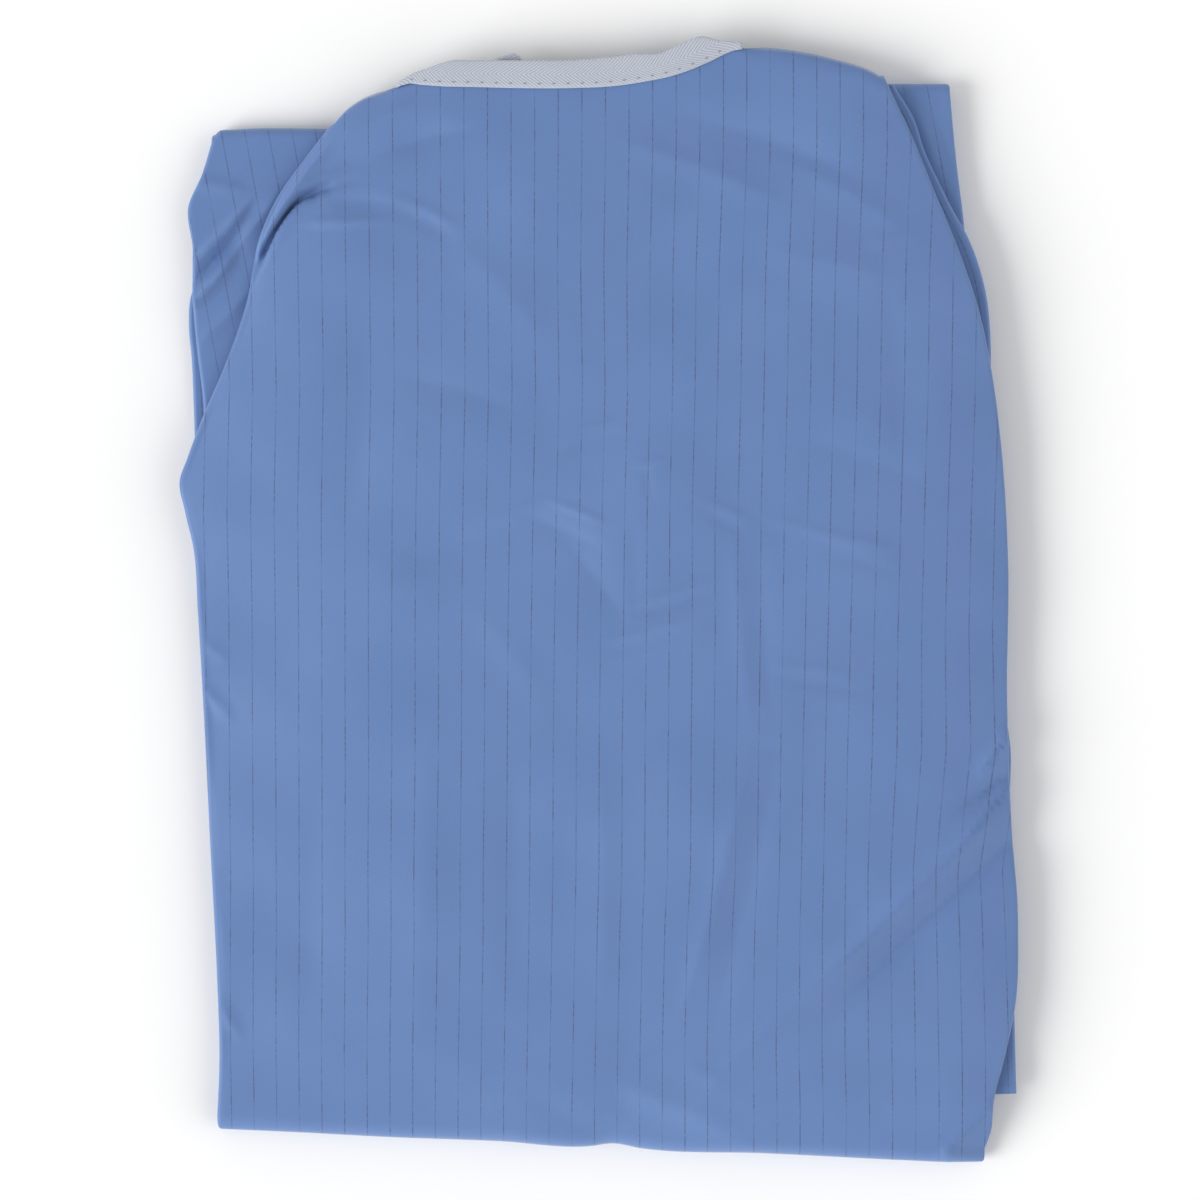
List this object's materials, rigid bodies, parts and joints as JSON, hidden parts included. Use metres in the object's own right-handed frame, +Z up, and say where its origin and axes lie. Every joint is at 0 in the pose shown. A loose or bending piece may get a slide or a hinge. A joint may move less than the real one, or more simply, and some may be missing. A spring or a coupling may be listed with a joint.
{
  "type": "folded apron gown",
  "caption": "Reusable pinstriped barrier gown folded into a flat rounded pack, front face up, with a herringbone tape neck binding and a flat underside.",
  "frame": {"origin": "middle of the folded pack seen from above, on the flat underside that it rests on", "axes": "+Z up out of the face of the pack; +Y towards the neck; +X towards the wearer's left side"},
  "size_m": [0.3602, 0.4851, 0.0241],
  "materials": {
    "gown_cloth": "smooth tightly woven polyester in medium blue with a soft low sheen and thin dark lengthwise pinstripes every 10 mm",
    "neck_tape": "matt light grey herringbone twill tape, folded over the edge and stitched through"
  },
  "bodies": {
    "root": {"front_panel": "gown_cloth", "right_back_panel": "gown_cloth", "left_back_panel": "gown_cloth", "right_sleeve": "gown_cloth", "left_sleeve": "gown_cloth", "folded_layers": "gown_cloth", "neck_binding": "neck_tape", "back_neck_binding": "neck_tape"}
  },
  "joints": []
}
